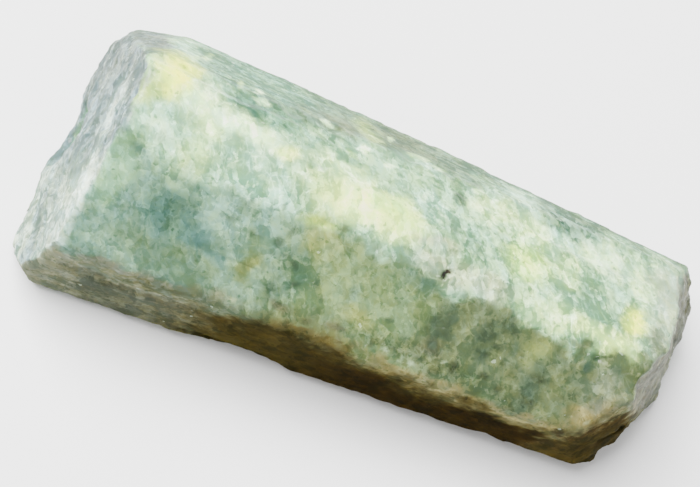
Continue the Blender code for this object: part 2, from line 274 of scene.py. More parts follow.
def group(piece, name, weights):
    """A vertex group from one weight for each point."""
    made = piece.vertex_groups.new(name=name)
    for index in np.nonzero(weights > LEAST_WEIGHT)[0]:
        made.add([int(index)], float(weights[index]), "REPLACE")
    return made.name


def worn(piece, name, weights, rounds):
    """A Smooth modifier for these points."""
    smooth = piece.modifiers.new(name, "SMOOTH")
    smooth.factor = SMOOTH_FACTOR
    smooth.iterations = rounds
    smooth.vertex_group = group(piece, name, weights)


bend = 1 - np.linalg.norm(normals, axis=1)
near_edge = between(bend, *BEND_RAMP) * (1 - rest_share)
front_edge = between(roll_off, -34, -44) * between(roll_off, -80, -70) * (1 - rest_share)
worn(crystal, "all_edges", near_edge, EDGE_ROUNDS)
worn(crystal, "front_edge", front_edge * (1 - end_share), FRONT_EDGE_ROUNDS)
apply_all(crystal)
print("rounded points:", int((near_edge > 0.5).sum()), " on the front edge:", int((front_edge > 0.5).sum()))

# %% [markdown]
# ## Growth lines, swells and crumbled ends
#
# Displace modifiers move the points along their normals by a procedural texture. Each reads its
# texture through an empty: the empty's scale says how long a texture unit is, and an empty stretched
# along X turns round blobs into growth lines that run along the crystal. A vertex group keeps each
# relief on its own faces, and the face that the stone rests on is left flat.

# %% Relief
LINE_STRETCH = 14  # how much longer than wide the growth lines are
SWELL_DEPTH = 0.30 * MM
LINE_DEPTH = 0.10 * MM
FLAKE_DEPTH = 0.10 * MM
CRUMB_DEPTH = 0.45 * MM
SHARPEST_SMOOTH = math.radians(38)  # an edge sharper than this stays sharp


def grid(name, scale):
    """An empty whose scale is the length of one texture unit along X, Y and Z."""
    empty = bpy.data.objects.new(name, None)
    empty.scale = scale
    bpy.context.scene.collection.objects.link(empty)
    return empty


def relief(piece, name, basis, size, depth, octaves, empty, weights, middle=0.5):
    """A Displace modifier with a clouds texture of this noise."""
    texture = bpy.data.textures.new(name, "CLOUDS")
    texture.noise_basis = basis
    texture.noise_scale = size
    texture.noise_depth = octaves
    displace = piece.modifiers.new(name, "DISPLACE")
    displace.texture = texture
    displace.texture_coords = "OBJECT"
    displace.texture_coords_object = empty
    displace.strength = depth
    displace.mid_level = middle
    displace.vertex_group = group(piece, name, weights)


round_grid = grid("round_grid", (MM, MM, MM))
long_grid = grid("long_grid", (LINE_STRETCH * MM, MM, MM))
bpy.context.view_layer.update()

not_resting = 1 - rest_share
back_and_sides = side_share * (0.3 + 0.7 * between(np.abs(lean), 20, 50))
crumbly = np.clip(end_share + 0.35 * front_share, 0, 1) * not_resting
relief(crystal, "swell", "ORIGINAL_PERLIN", 4.0, SWELL_DEPTH, 2, round_grid, side_share, 0.6)
relief(crystal, "growth_lines", "IMPROVED_PERLIN", 0.55, LINE_DEPTH, 2, long_grid, back_and_sides)
relief(crystal, "flakes", "VORONOI_F2_F1", 1.5, FLAKE_DEPTH, 1, round_grid, side_share)
relief(crystal, "crumbs", "VORONOI_F1", 1.1, CRUMB_DEPTH, 2, round_grid, crumbly)
apply_all(crystal)
for empty in (round_grid, long_grid):
    bpy.data.objects.remove(empty)
crystal.vertex_groups.clear()
only(crystal)
bpy.ops.object.shade_smooth_by_angle(angle=SHARPEST_SMOOTH)
print("relief made;", len(crystal.data.polygons), "faces")

# %% [markdown]
# ## Palette
#
# One stone holds many colours: sea-green pools, milk, straw-yellow stain, and iron brown along one
# side. They are written once, by name, as a painter lays out a palette. Base Color takes linear
# values, which look darker as numbers than they do on screen.

# %% Palette
PALETTE = {
    "cream": (0.80, 0.95, 0.075),
    "butter": (0.47, 0.74, 0.16),
    "milk": (0.72, 0.97, 0.27),
    "pale": (0.40, 0.64, 0.25),
    "mist": (0.27, 0.50, 0.30),
    "straw_mist": (0.34, 0.50, 0.13),
    "grey_milk": (0.26, 0.35, 0.20),
    "dusk": (0.13, 0.17, 0.10),
    "lilac_milk": (0.37, 0.49, 0.32),
    "back_shade": (0.080, 0.118, 0.066),
    "grain": (0.012, 0.010, 0.006),
    "white_milk": (0.62, 0.94, 0.46),
    "lilac_white": (0.335, 0.63, 0.40),
    "chip": (0.043, 0.074, 0.042),
    "dark_chip": (0.028, 0.036, 0.017),
    "rust": (0.038, 0.0265, 0.0085),
    "grey_tan": (0.130, 0.145, 0.092),
    "grey_olive": (0.056, 0.062, 0.036),
    "foot_olive": (0.066, 0.074, 0.030),
    "end_frost": (0.22, 0.30, 0.235),
    "mint": (0.175, 0.34, 0.18),
    "window": (0.14, 0.25, 0.13),
    "aqua": (0.095, 0.23, 0.14),
    "deep_aqua": (0.060, 0.155, 0.092),
    "slate": (0.075, 0.145, 0.085),
    "ice": (0.095, 0.140, 0.138),
    "frost": (0.40, 0.54, 0.45),
    "lilac": (0.080, 0.104, 0.096),
    "sea": (0.115, 0.220, 0.150),
    "teal": (0.045, 0.102, 0.074),
    "green_water": (0.085, 0.150, 0.085),
    "sage": (0.118, 0.180, 0.074),
    "straw_sage": (0.165, 0.215, 0.070),
    "grey_sage": (0.120, 0.150, 0.080),
    "straw": (0.25, 0.37, 0.070),
    "lime": (0.104, 0.136, 0.042),
    "moss": (0.037, 0.058, 0.030),
    "drab": (0.085, 0.115, 0.052),
    "olive": (0.060, 0.068, 0.034),
    "khaki": (0.088, 0.091, 0.055),
    "tan": (0.165, 0.150, 0.056),
    "bronze": (0.064, 0.057, 0.020),
    "brown": (0.0255, 0.0200, 0.0046),
    "umber": (0.0128, 0.0080, 0.0014),
}
print(len(PALETTE), "colours")

# %% [markdown]
# ## Zones
#
# The colour lies in soft clouds a few millimetres wide. Each cloud is written as a zone: an ellipse as seen
# from above, with a place, two radii and a colour. `glass` says how many clear dark pockets show there, and
# `frost` how many milky shards and veils. Noise alone could make clouds too, but not these ones, with the
# cream at one corner and the moss at the other.

# %% Zones: name, place (mm along, across), radii (mm), colour, glass, frost
ZONES = (
    # the back slope and the shoulder behind it
    ("lilac corner", (-22.9, 9.0), (2.4, 2.6), "lilac", 0.3, 0.5),
    ("pale corner streak", (-19.8, 8.6), (1.4, 2.4), "mist", 0.2, 0.4),
    ("long aqua pool", (-13.6, 8.2), (5.4, 2.7), "aqua", 0.4, 0.4),
    ("heart of the aqua", (-11.4, 5.6), (2.8, 1.2), "deep_aqua", 0.3, 0.3),
    ("dark of the aqua", (-15.0, 5.0), (1.7, 1.1), "deep_aqua", 0.4, 0.3),
    ("green streak", (-10.4, 6.7), (1.5, 1.0), "slate", 0.2, 0.15),
    # painted shade along the back edge, over green crystal
    ("green back in painted shade", (-7.4, 7.3), (1.9, 1.6), "back_shade", 0.1, 0.2),
    ("straw back", (-4.9, 8.2), (1.2, 1.4), "straw_mist", 0.2, 0.3),
    # painted shade along the back edge
    ("painted shade on the back", (-1.4, 8.8), (3.6, 1.5), "back_shade", 0.3, 0.2),
    ("aqua strip", (-6.8, 5.2), (3.6, 0.8), "mint", 0.4, 0.6),
    ("middle green", (-0.6, 5.7), (2.6, 0.8), "mint", 0.4, 0.5),
    ("pale dashes", (-0.8, 7.1), (1.7, 0.55), "mist", 0.2, 0.8),
    ("green window", (2.2, 8.3), (2.6, 1.4), "green_water", 0.5, 0.2),
    ("small dark window", (3.2, 5.3), (0.8, 0.6), "slate", 0.6, 0.2),
    ("pale patch", (6.2, 5.6), (2.5, 1.4), "pale", 0.3, 0.5),
    ("grey patch", (5.4, 7.7), (1.2, 0.9), "mint", 0.5, 0.4),
    ("pale back", (8.3, 7.8), (1.8, 1.6), "mist", 0.3, 0.5),
    ("dark back pool", (12.1, 7.4), (2.8, 1.4), "sea", 0.9, 0.3),
    ("pale under the pool", (12.0, 5.1), (1.9, 1.0), "lilac_white", 0.3, 0.4),
    # milky crystal, brightened into a painted highlight
    ("milk behind with a painted highlight", (15.5, 5.6), (1.8, 1.3), "white_milk", 0.05, 0.3),
    ("grey behind", (17.2, 7.7), (1.6, 1.2), "mint", 0.3, 0.4),
    ("cream ridge", (19.3, 4.9), (1.1, 1.8), "pale", 0.2, 0.3),
    ("sage end", (20.9, 7.3), (1.8, 1.5), "mint", 0.4, 0.5),
    # the crown
    ("cream patch", (-20.9, 5.0), (1.7, 2.0), "cream", 0.05, 0.2),
    ("cream foot", (-22.4, 3.0), (1.1, 1.5), "straw_mist", 0.1, 0.3),
    ("cream tail", (-18.6, 3.6), (1.7, 1.5), "white_milk", 0.1, 0.3),
    ("grey milk at the end", (-20.4, 1.2), (2.2, 1.3), "mist", 0.3, 0.4),
    ("icy step", (-23.3, 1.4), (0.7, 2.6), "ice", 0.2, 0.4),
    ("yellow milk", (-17.4, 0.4), (1.4, 2.3), "pale", 0.1, 0.2),
    ("white streak", (-15.0, 2.9), (3.6, 1.1), "white_milk", 0.1, 0.5),
    ("lilac mist", (-12.6, 1.0), (3.6, 1.2), "mist", 0.4, 0.6),
    ("white knot", (-11.0, 2.7), (1.4, 0.6), "milk", 0.1, 0.7),
    ("blue mist", (-9.2, 3.1), (1.1, 0.9), "mint", 0.3, 0.5),
    ("speckled aqua", (-12.4, -0.9), (3.6, 0.9), "lilac_white", 0.6, 0.6),
    ("pale above the band", (-6.3, 3.4), (2.8, 0.9), "pale", 0.2, 0.6),
    ("milk band", (-4.1, 1.3), (4.4, 1.6), "milk", 0.25, 0.4),
    ("butter", (-1.8, 2.0), (2.2, 0.9), "butter", 0.05, 0.2),
    ("pale crown", (1.0, 3.4), (1.6, 1.1), "mist", 0.5, 0.6),
    ("crown window", (5.2, 2.4), (2.4, 1.2), "mint", 0.35, 0.4),
    ("sandy streak", (1.7, 0.9), (1.8, 0.5), "grey_milk", 0.2, 0.3),
    ("grey milk", (3.0, -0.8), (3.2, 1.1), "grey_milk", 0.3, 0.6),
    ("white crown", (9.3, 5.0), (1.9, 0.9), "pale", 0.3, 0.6),
    ("yellow cloud", (9.5, 2.6), (1.8, 2.0), "butter", 0.2, 0.3),
    ("pale between", (12.6, 3.2), (1.8, 1.7), "pale", 0.3, 0.4),
    ("second window", (15.7, 2.3), (1.3, 2.2), "mint", 0.3, 0.3),
    ("white by the window", (6.8, -0.7), (1.6, 1.0), "grey_milk", 0.2, 0.6),
    ("white crest", (12.4, -0.8), (3.2, 1.1), "pale", 0.15, 0.6),
    ("milk crest", (17.2, -0.8), (2.6, 0.9), "milk", 0.1, 0.4),
    ("cream at the end", (19.1, 1.4), (1.3, 1.3), "cream", 0.05, 0.3),
    ("lilac end", (22.0, 4.6), (2.0, 2.8), "lilac_milk", 0.1, 0.2),
    # painted shade: the dark grey rim where the crown turns down to the broken end
    ("shaded rim of the crown", (21.6, 0.4), (1.0, 1.8), "dusk", 0.3, 0.4),
    # the front slope
    ("pale water by the end", (-22.4, -3.4), (1.3, 2.6), "mint", 0.2, 0.2),
    ("small dark water", (-21.0, -1.5), (1.0, 0.5), "sea", 0.4, 0.1),
    ("sea pool", (-17.8, -4.0), (2.6, 2.2), "teal", 0.3, 0.1),
    ("sea pool, low", (-15.0, -5.6), (2.4, 1.6), "teal", 0.25, 0.1),
    ("green water", (-17.4, -7.2), (3.6, 1.1), "green_water", 0.2, 0.1),
    ("blue corner", (-21.8, -7.0), (1.3, 1.2), "sea", 0.2, 0.1),
    ("teal foot", (-13.2, -7.0), (1.2, 0.9), "green_water", 0.2, 0.1),
    ("speckled water", (-12.4, -3.0), (2.0, 1.5), "sea", 0.4, 0.3),
    ("lime patch", (-10.8, -5.6), (1.2, 1.6), "sage", 0.1, 0.1),
    ("heart of the lime", (-10.6, -5.8), (0.8, 1.1), "lime", 0.1, 0.1),
    ("flaky ground", (-7.5, -5.3), (1.6, 2.4), "green_water", 0.5, 0.3),
    ("straw patch", (-7.0, -1.2), (1.4, 0.8), "straw", 0.0, 0.1),
    ("straw under it", (-6.2, -2.6), (1.5, 0.8), "straw_sage", 0.1, 0.2),
    ("low straw", (-1.4, -6.3), (1.9, 0.9), "straw_sage", 0.2, 0.2),
    ("green grey", (1.4, -2.3), (1.6, 0.6), "green_water", 0.3, 0.2),
    ("moss pool", (5.0, -4.4), (1.3, 2.1), "moss", 0.15, 0.1),
    ("foot of the moss", (4.6, -6.6), (1.3, 0.9), "olive", 0.3, 0.2),
    ("moss behind it", (8.6, -4.4), (1.0, 2.0), "moss", 0.2, 0.15),
    ("moss under the crest", (9.2, -2.9), (1.2, 0.7), "moss", 0.3, 0.2),
    ("grey grit", (6.5, -7.3), (7.0, 0.8), "drab", 0.5, 0.45),
    ("lime glow", (12.2, -3.6), (1.3, 1.5), "lime", 0.05, 0.1),
    ("olive pocket", (13.2, -6.3), (1.2, 1.8), "moss", 0.3, 0.1),
    ("grey corner", (18.9, -4.4), (2.0, 1.7), "grey_sage", 0.3, 0.3),
    ("tan corner", (18.4, -6.8), (1.7, 1.0), "tan", 0.1, 0.2),
    ("pale tan corner", (19.2, -6.0), (0.9, 0.7), "grey_tan", 0.1, 0.2),
)
print(len(ZONES), "zones")

# %% [markdown]
# ## Marks
#
# On top of the clouds lie the small things that the eye stops at: white dashes of painted highlight where a
# crack catches the light, dark flakes of clear crystal with painted shadows of cracks, painted shade along
# the back edge, and chips along the foot of the slope, some of them painted glints. Each is a short ellipse
# with its own length, width and turn. They are few enough to be listed one by one, which keeps them from
# looking like a pattern.

# %% Marks: place (mm), half length, half width, turn (degrees), colour, strength
MARKS = (
    # white dashes on the back slope: painted highlights where cracks catch the light
    ((-14.0, 5.9), 0.80, 0.30, 4, "white_milk", 0.9),
    ((-14.3, 6.8), 0.35, 0.30, 50, "white_milk", 0.6),
    ((-15.9, 6.6), 0.55, 0.25, 80, "pale", 0.7),
    ((-14.9, 3.6), 1.00, 0.25, -14, "white_milk", 0.8),
    ((-18.3, 9.0), 0.90, 0.25, 62, "pale", 0.6),
    ((-19.5, 7.8), 0.90, 0.25, 58, "pale", 0.5),
    ((-8.6, 6.6), 0.70, 0.22, -6, "white_milk", 0.7),
    ((-8.0, 4.2), 0.70, 0.30, 5, "white_milk", 0.7),
    ((-5.4, 5.7), 0.60, 0.26, 16, "white_milk", 0.8),
    ((-6.3, 4.8), 0.60, 0.22, -20, "pale", 0.7),
    ((-3.3, 5.3), 0.40, 0.26, 20, "white_milk", 0.7),
    ((-2.9, 8.4), 0.45, 0.20, 72, "pale", 0.8),
    ((-0.8, 7.4), 1.00, 0.35, 8, "pale", 0.7),
    ((0.9, 7.0), 0.80, 0.24, 0, "pale", 0.6),
    ((4.4, 6.5), 0.60, 0.20, 8, "white_milk", 0.8),
    ((5.8, 6.4), 0.35, 0.18, 25, "white_milk", 0.7),
    ((9.2, 4.4), 0.80, 0.45, 10, "white_milk", 0.7),
    ((11.9, 5.1), 0.35, 0.18, 0, "white_milk", 0.8),
    ((19.4, 3.7), 0.60, 0.40, 50, "white_milk", 0.7),
    ((20.3, 7.1), 0.30, 0.22, 20, "white_milk", 0.7),
    # darker flakes, painted shadows of cracks behind them, and painted shade along the back edge
    ((-16.4, 6.3), 0.80, 0.25, 10, "deep_aqua", 0.7),
    ((-15.1, 4.4), 0.90, 0.20, -16, "slate", 0.6),
    ((-8.0, 7.0), 0.60, 0.22, 24, "slate", 0.5),
    ((-5.7, 5.3), 0.30, 0.18, -10, "slate", 0.6),
    ((-4.5, 8.7), 0.40, 0.30, 60, "back_shade", 0.7),
    ((0.3, 8.3), 1.00, 0.35, 5, "back_shade", 0.6),
    ((3.2, 5.4), 0.60, 0.40, 20, "slate", 0.7),
    ((2.9, 2.6), 0.80, 0.60, 35, "window", 0.6),
    ((5.0, 1.5), 1.40, 0.60, -20, "window", 0.5),
    ((4.6, 7.7), 1.10, 0.40, 30, "slate", 0.5),
    ((10.9, 6.7), 0.90, 0.40, 28, "slate", 0.8),
    ((13.4, 7.3), 0.90, 0.40, 12, "slate", 0.5),
    ((11.6, 7.6), 0.60, 0.30, 40, "slate", 0.7),
    ((12.5, 4.6), 0.70, 0.30, 25, "window", 0.6),
    ((16.6, 4.8), 0.70, 0.45, 50, "window", 0.7),
    ((16.8, 2.8), 0.80, 0.40, 75, "window", 0.7),
    ((15.0, 2.3), 1.00, 0.60, 60, "window", 0.6),
    # flakes on the front slope
    ((-9.2, -3.5), 0.50, 0.40, 60, "chip", 0.9),
    ((-8.6, -2.6), 0.45, 0.24, 58, "chip", 0.8),
    ((-8.3, -4.1), 0.45, 0.24, 20, "chip", 0.8),
    ((-7.4, -4.5), 0.60, 0.30, -24, "chip", 0.8),
    ((-6.8, -5.8), 0.45, 0.28, 10, "chip", 0.9),
    ((-8.4, -6.7), 0.55, 0.50, -50, "chip", 0.7),
    ((-7.2, -7.5), 1.10, 0.35, -10, "grey_olive", 0.8),
    ((-9.6, -5.3), 0.45, 0.28, -70, "chip", 0.6),
    ((-11.3, -3.7), 0.30, 0.22, 30, "chip", 0.6),
    ((-12.4, -1.8), 0.40, 0.22, 70, "chip", 0.6),
    ((-9.8, -1.1), 0.35, 0.24, 60, "chip", 0.6),
    ((-5.1, -1.0), 0.45, 0.26, 20, "drab", 0.8),
    ((-4.4, -2.1), 0.40, 0.20, -40, "chip", 0.5),
    ((-5.2, -5.1), 0.30, 0.26, 60, "chip", 0.6),
    ((-4.4, -6.0), 0.30, 0.24, -30, "chip", 0.6),
    ((-2.4, -4.9), 0.80, 0.50, 80, "green_water", 0.7),
    ((-2.6, -7.4), 0.90, 0.32, 6, "grey_olive", 0.9),
    ((-4.8, -7.8), 0.40, 0.22, 20, "grey_olive", 0.8),
    ((0.4, -7.5), 0.28, 0.26, 20, "dark_chip", 0.7),
    ((0.9, -5.6), 0.36, 0.30, 40, "chip", 0.7),
    ((7.0, -6.9), 0.70, 0.30, -80, "dark_chip", 0.8),
    ((9.5, -6.7), 0.50, 0.24, -8, "dark_chip", 0.8),
    ((10.9, -7.1), 0.40, 0.28, 70, "dark_chip", 0.7),
    ((5.7, -7.7), 0.50, 0.30, 30, "dark_chip", 0.6),
    ((4.7, -6.0), 0.36, 0.26, 30, "chip", 0.7),
    ((10.7, -3.9), 0.50, 0.40, -40, "chip", 0.7),
    ((16.4, -3.4), 0.70, 0.40, 60, "chip", 0.9),
    ((16.9, -2.5), 0.50, 0.24, 14, "chip", 0.9),
    ((18.4, -2.8), 0.50, 0.35, 50, "chip", 0.6),
    ((13.2, -5.4), 0.80, 0.34, -6, "dark_chip", 0.5),
    ((13.5, -7.3), 0.80, 0.45, -10, "dark_chip", 0.5),
    # small white chips along the foot of the slope, partly painted glints
    ((-13.2, -8.4), 0.28, 0.18, 10, "grey_milk", 0.8),
    ((-11.6, -8.3), 0.50, 0.16, 2, "grey_milk", 0.9),
    ((-10.6, -8.3), 0.35, 0.16, 0, "grey_milk", 0.9),
    ((1.6, -7.6), 0.26, 0.14, 0, "grey_milk", 0.6),
    ((6.2, -6.9), 0.30, 0.14, 20, "grey_milk", 0.6),
    ((4.0, -7.8), 0.30, 0.14, 10, "grey_milk", 0.5),
    ((18.4, -6.9), 0.24, 0.18, 20, "grey_milk", 0.8),
)
print(len(MARKS), "small marks")

# %% [markdown]
# ## Borders that follow the cracks
#
# A cloud's edge in the stone is never a clean ellipse. So before the zones are painted, each point's
# place is moved a little: part of the way to the middle of its own shard, and then by slow noises.
# The zones are laid on the moved places, and the mesh itself stays where it is. The small marks need
# crisper edges, so they read places that are only shaken a little. The noise gets a seed, or its
# offset would change with every run.

# %% Places that wander
NOISE_SEED = 7
SHARD_MM = 0.9  # size of the shards that the zones' borders follow
SHARD_PULL = 0.3  # how far a place goes to the middle of its shard
DRIFTS = ((3.0, 0.7), (1.1, 0.45), (0.45, 0.2))  # width and reach of each noise, in millimetres
SHAKE_WIDTH = 0.6
SHAKE_REACH = 0.22
RAGGED_WIDTH = 1.9
RAGGED_NOISE = (0.8, 2.1, 3)  # roughness, step in size and number of layers


def wandering(place):
    """A place in millimetres, pulled to the middle of its shard and drifted by slow noises."""
    middle = noise.voronoi(place / SHARD_MM)[1][0] * SHARD_MM
    moved = place.lerp(middle, SHARD_PULL)
    for width, reach in DRIFTS:
        moved += noise.noise_vector(place / width) * reach
    return moved


noise.seed_set(NOISE_SEED)
places = points_of(crystal, "co") / MM
wandered = np.array([wandering(Vector(place)) for place in places])
x_mm, y_mm, z_mm = wandered.T
shaken = np.array([noise.noise_vector(Vector(place) / SHAKE_WIDTH) for place in places])
x_near, y_near, _ = (places + SHAKE_REACH * shaken).T
ragged = np.array([noise.fractal(Vector(place) / RAGGED_WIDTH, *RAGGED_NOISE) for place in places])
print("places wander by", np.linalg.norm(wandered - places, axis=1).mean().round(2), "mm on average")

# %% [markdown]
# ## The ground colours
#
# The first coat is one colour for each face: mint on the crown, slate on the back slope and sage on
# the back flank. The front slope starts at a ragged line, the crest, that winds across the crown:
# sea green near the stepped end, sage in the middle and drab beyond it. The coats could be masks in
# the material, but a value on each point can be painted over as often as needed at no cost.

# %% Grounds and the front slope
GROUNDS = (
    # colour, glass, frost, share of each point
    ("slate", 0.4, 0.4, side_share * between(lean, 38, 62)),
    ("sage", 0.4, 0.4, side_share * between(lean, 100, 125)),
)
CREST_X = (-12, -4, 0, 3, 4.5, 6, 7.3, 8.5, 9.6, 11, 14, 16, 17.5, 19, 21)
CREST_Y = (-2.0, -1.3, -1.6, -1.9, -2.5, -2.5, -2.0, -1.6, -1.8, -2.1, -2.5, -2.3, -1.9, -1.7, -0.9)
CREST_RAGGED = 0.7
CREST_WIDTH = 1.1
CREST_WIDER = 2.4  # added to the width near the stepped end, where the crest is soft


def mix(values, colour, share):
    """Values moved towards one colour (or one number) by each point's own share."""
    return values + (np.array(colour) - values) * share[:, None]


tint = np.tile(PALETTE["mint"], (len(places), 1))
grains = np.tile((0.3, 0.5), (len(places), 1))  # glass and frost
for colour, glass, frost, share in GROUNDS:
    tint = mix(tint, PALETTE[colour], share)
    grains = mix(grains, (glass, frost), share)

border = y_mm - np.interp(x_mm, CREST_X, CREST_Y) + CREST_RAGGED * ragged
border_width = CREST_WIDTH + CREST_WIDER * between(x_mm, 0, -12)
slope_share = side_share * between(border, 0.5 * border_width, -0.5 * border_width)
tint = mix(tint, PALETTE["sea"], slope_share)
tint = mix(tint, PALETTE["sage"], slope_share * between(x_mm, -12, -6))
tint = mix(tint, PALETTE["drab"], slope_share * between(x_mm, 1, 6))
grains = mix(grains, (0.32, 0.12), slope_share)
print("points on the front slope:", int(slope_share.sum()))

# %% [markdown]
# ## Painting the zones and marks
#
# A zone is full in its middle and fades out past its rim, because milk and stain thin out that way in
# the stone. The zones are laid over each other in the order of their list, and the marks on top of
# them. Both stay on the upper faces: low on the flanks they would be pulled into long smears.

# %% Zones and marks
TOP_RAMP = (2.5, 6.5)  # height in millimetres above which the zones show
ZONE_RAMP = (1.5, 0.35)  # as shares of the radii: nothing past the first, full within the second
MARK_RAMP = (1.3, 0.5)
SHOULDER_SHADE = 0.22

top_share = between(z_mm, *TOP_RAMP)
for name, (x, y), (x_radius, y_radius), colour, glass, frost in ZONES:
    reach = np.hypot((x_mm - x) / x_radius, (y_mm - y) / y_radius)
    share = top_share * between(reach, *ZONE_RAMP)
    tint = mix(tint, PALETTE[colour], share)
    grains = mix(grains, (glass, frost), share)

# painted shade: the shoulder behind the back slope is made a little darker, more where it leans further
# back
shoulder = SHOULDER_SHADE * side_share * between(roll_off, 28, 44) * top_share
tint = mix(tint, PALETTE["back_shade"], shoulder)

# the milk of the crown is the most broken up towards the broken end
crown_end = top_share * (1 - slope_share) * between(x_mm, 0, 5) * between(x_mm, 21, 18)
crown_end *= between(y_mm, 5.5, 4)
grains = mix(grains, (0.6, 0.7), 0.6 * crown_end)

for (x, y), half_long, half_wide, turned, colour, strength in MARKS:
    turn_cos, turn_sin = math.cos(math.radians(turned)), math.sin(math.radians(turned))
    along_mark = (x_near - x) * turn_cos + (y_near - y) * turn_sin
    over_mark = (y_near - y) * turn_cos - (x_near - x) * turn_sin
    reach = np.hypot(along_mark / half_long, over_mark / half_wide)
    tint = mix(tint, PALETTE[colour], top_share * strength * between(reach, *MARK_RAMP))
print("mean colour with zones and marks:", tint.mean(0).round(3))

# %% [markdown]
# ## The stepped end
#
# This end stopped growing in steps and then broke a little. It is icy, turns lilac towards the back, and is
# frosty and crumbled white in front, where the light is caught between tiny cracks, with one clear pocket
# in the frost. A thin white line runs along its rim: bruised frosty crystal, with a painted highlight along
# the edge. Each band is a product of soft ramps, one for each side of it.

# %% Stepped end
STEPPED_X = (-24.6, -25.2)  # beyond this the stepped end's colours start whatever the lean
FROST_STRENGTH = 0.65

stepped = np.maximum(end_share * between(places[:, 0], 0, -10), between(places[:, 0], *STEPPED_X))
tint = mix(tint, PALETTE["ice"], stepped)
tint = mix(tint, PALETTE["lilac"], stepped * between(y_mm, 1, 7) * 0.8)
tint = mix(tint, PALETTE["end_frost"], stepped * between(y_mm, -1, -4) * 0.9)

# the white rim line is frosty crystal and a painted highlight along the edge
rim_frost_and_highlight = between(x_near, -24.25, -23.95) * between(x_near, -23.45, -23.75) * between(y_mm, 5, 2) * 0.7
white_foot = between(x_near, -25.0, -24.5) * between(x_near, -23.4, -23.8) * between(y_mm, -2.5, -4.5)
white_foot *= between(z_mm, 7, 9) * between(y_mm, -8.2, -6.6) * (0.55 + 0.45 * between(ragged, -0.2, 0.3))
white = np.maximum(rim_frost_and_highlight * between(ragged, -0.3, 0.1), white_foot)
tint = mix(tint, PALETTE["frost"], white * FROST_STRENGTH)

pocket = stepped * between(y_mm, -2.5, -4) * between(x_near, -24.9, -25.2) * between(x_near, -25.9, -25.6)
tint = mix(tint, PALETTE["ice"], pocket * between(ragged, -0.25, 0.1) * 0.8)
print("frosted points at the rim:", int((white > 0.3).sum()))

# %% [markdown]
# ## The broken end
#
# Here the prism snapped off. The break is pale and milky at the back, khaki in front and low down, and
# olive at its foot, so it grows darker towards the front and the foot. The grains of both ends are set
# here: many clear and milky ones at the stepped end, where every small crack face shows, and fewer on the
# break.

# %% Broken end
broken = end_share * between(places[:, 0], 0, 10)
tint = mix(tint, PALETTE["lilac_milk"], broken)
tint = mix(tint, PALETTE["khaki"], broken * np.maximum(between(y_mm, 4, 1.5), between(z_mm, 10.5, 8)))
tint = mix(tint, PALETTE["olive"], broken * between(z_mm, 9, 6))
grains = mix(grains, (0.5, 0.6), end_share)
grains = mix(grains, (0.25, 0.45), broken)
print("points on the broken end:", int(broken.sum()))

# %% [markdown]
# ## How far down the near side
#
# The near side is stained by iron, and its colours lie in strips along the crystal that grow darker further
# down, partly as iron stain and partly as painted shade. They are painted by one number, how far a point
# lies below the long edge. The edge isn't quite straight along X, so a straight line is fitted to the
# points that lean as the edge does. The strips start above the edge in the middle of the stone, and below
# it towards the stepped end.

# %% Distance below the near edge
ACROSS_Y, ACROSS_Z = 0.974, 0.228  # a direction across the edge, from above and a little in front
EDGE_LEAN = (-62, -48)  # degrees
EDGE_LOWEST = 6  # millimetres up
EDGE_REACH = 17  # millimetres along, to both sides of the middle
STRIP_X = (-25, -16, -13.8, -9, -6.5, -3, -1, 4, 9, 14, 22)
STRIP_FALL = (0.8, 0.35, 0.0, 0.0, -0.7, -0.8, -0.45, -0.05, 0.1, 0.2, 0.2)

on_edge = (roll_off > EDGE_LEAN[0]) & (roll_off < EDGE_LEAN[1])
on_edge &= (places[:, 2] > EDGE_LOWEST) & (np.abs(places[:, 0]) < EDGE_REACH)
edge_across = ACROSS_Y * places[on_edge, 1] + ACROSS_Z * places[on_edge, 2]
edge_line = np.polyfit(places[on_edge, 0], edge_across, 1)
fall = np.polyval(edge_line, x_mm) - (ACROSS_Y * y_mm + ACROSS_Z * z_mm)
below = fall - np.interp(x_mm, STRIP_X, STRIP_FALL)
below += 4 * between(roll_off, -92, -104)  # the foot counts as far down, though it turns back under
near_side = side_share * between(upwards, *UNDERSIDE_RAMP)
near_side *= between(y_mm, -5, -6.5) * between(roll_off, 10, -15)
print("the near edge runs at", edge_line.round(4))

# %% [markdown]
# ## The stain and its painted shade
#
# From the edge down, the near side goes from tan through bronze to brown, and to a dark umber towards the
# broken end: iron stain, with painted shade that deepens further down and towards the broken end. Near the
# stepped end it is greyer: grey tan, one thin olive line, and grey olive below, which is darker further
# down as well. The two parts meet at a ragged border. The strips are laid from the top down, and each
# starts a little above the place where the one before it is full.

# %% Strips of the near side
towards_step = between(x_mm + 1.5 * ragged, -9, -16.5)
stain_and_shade = near_side * (1 - towards_step)
near_side_by_step = near_side * towards_step

olive_strip = near_side * between(below, -1.7, 0.1) * 0.7 * between(x_mm, 1, -4)
tint = mix(tint, PALETTE["foot_olive"], olive_strip)
tint = mix(tint, PALETTE["tan"], near_side * between(below, -0.35, 0.2) * 0.85 * between(x_mm, -4, 3))
# greyer near the stepped end, and darker further down, which is partly painted shade
tint = mix(tint, PALETTE["grey_tan"], near_side_by_step * between(below, -1.0, -0.2))
olive_line = between(below, -0.15, 0.05) * between(below, 0.35, 0.15) * between(x_mm, -22, -18)
tint = mix(tint, PALETTE["foot_olive"], near_side_by_step * olive_line)
tint = mix(tint, PALETTE["grey_olive"], near_side_by_step * between(below, 0.45, 0.9))
step_tan = near_side * between(below, 0.3, 0.7) * between(x_mm, -20, -22.5) * 0.4
tint = mix(tint, PALETTE["grey_tan"], step_tan)

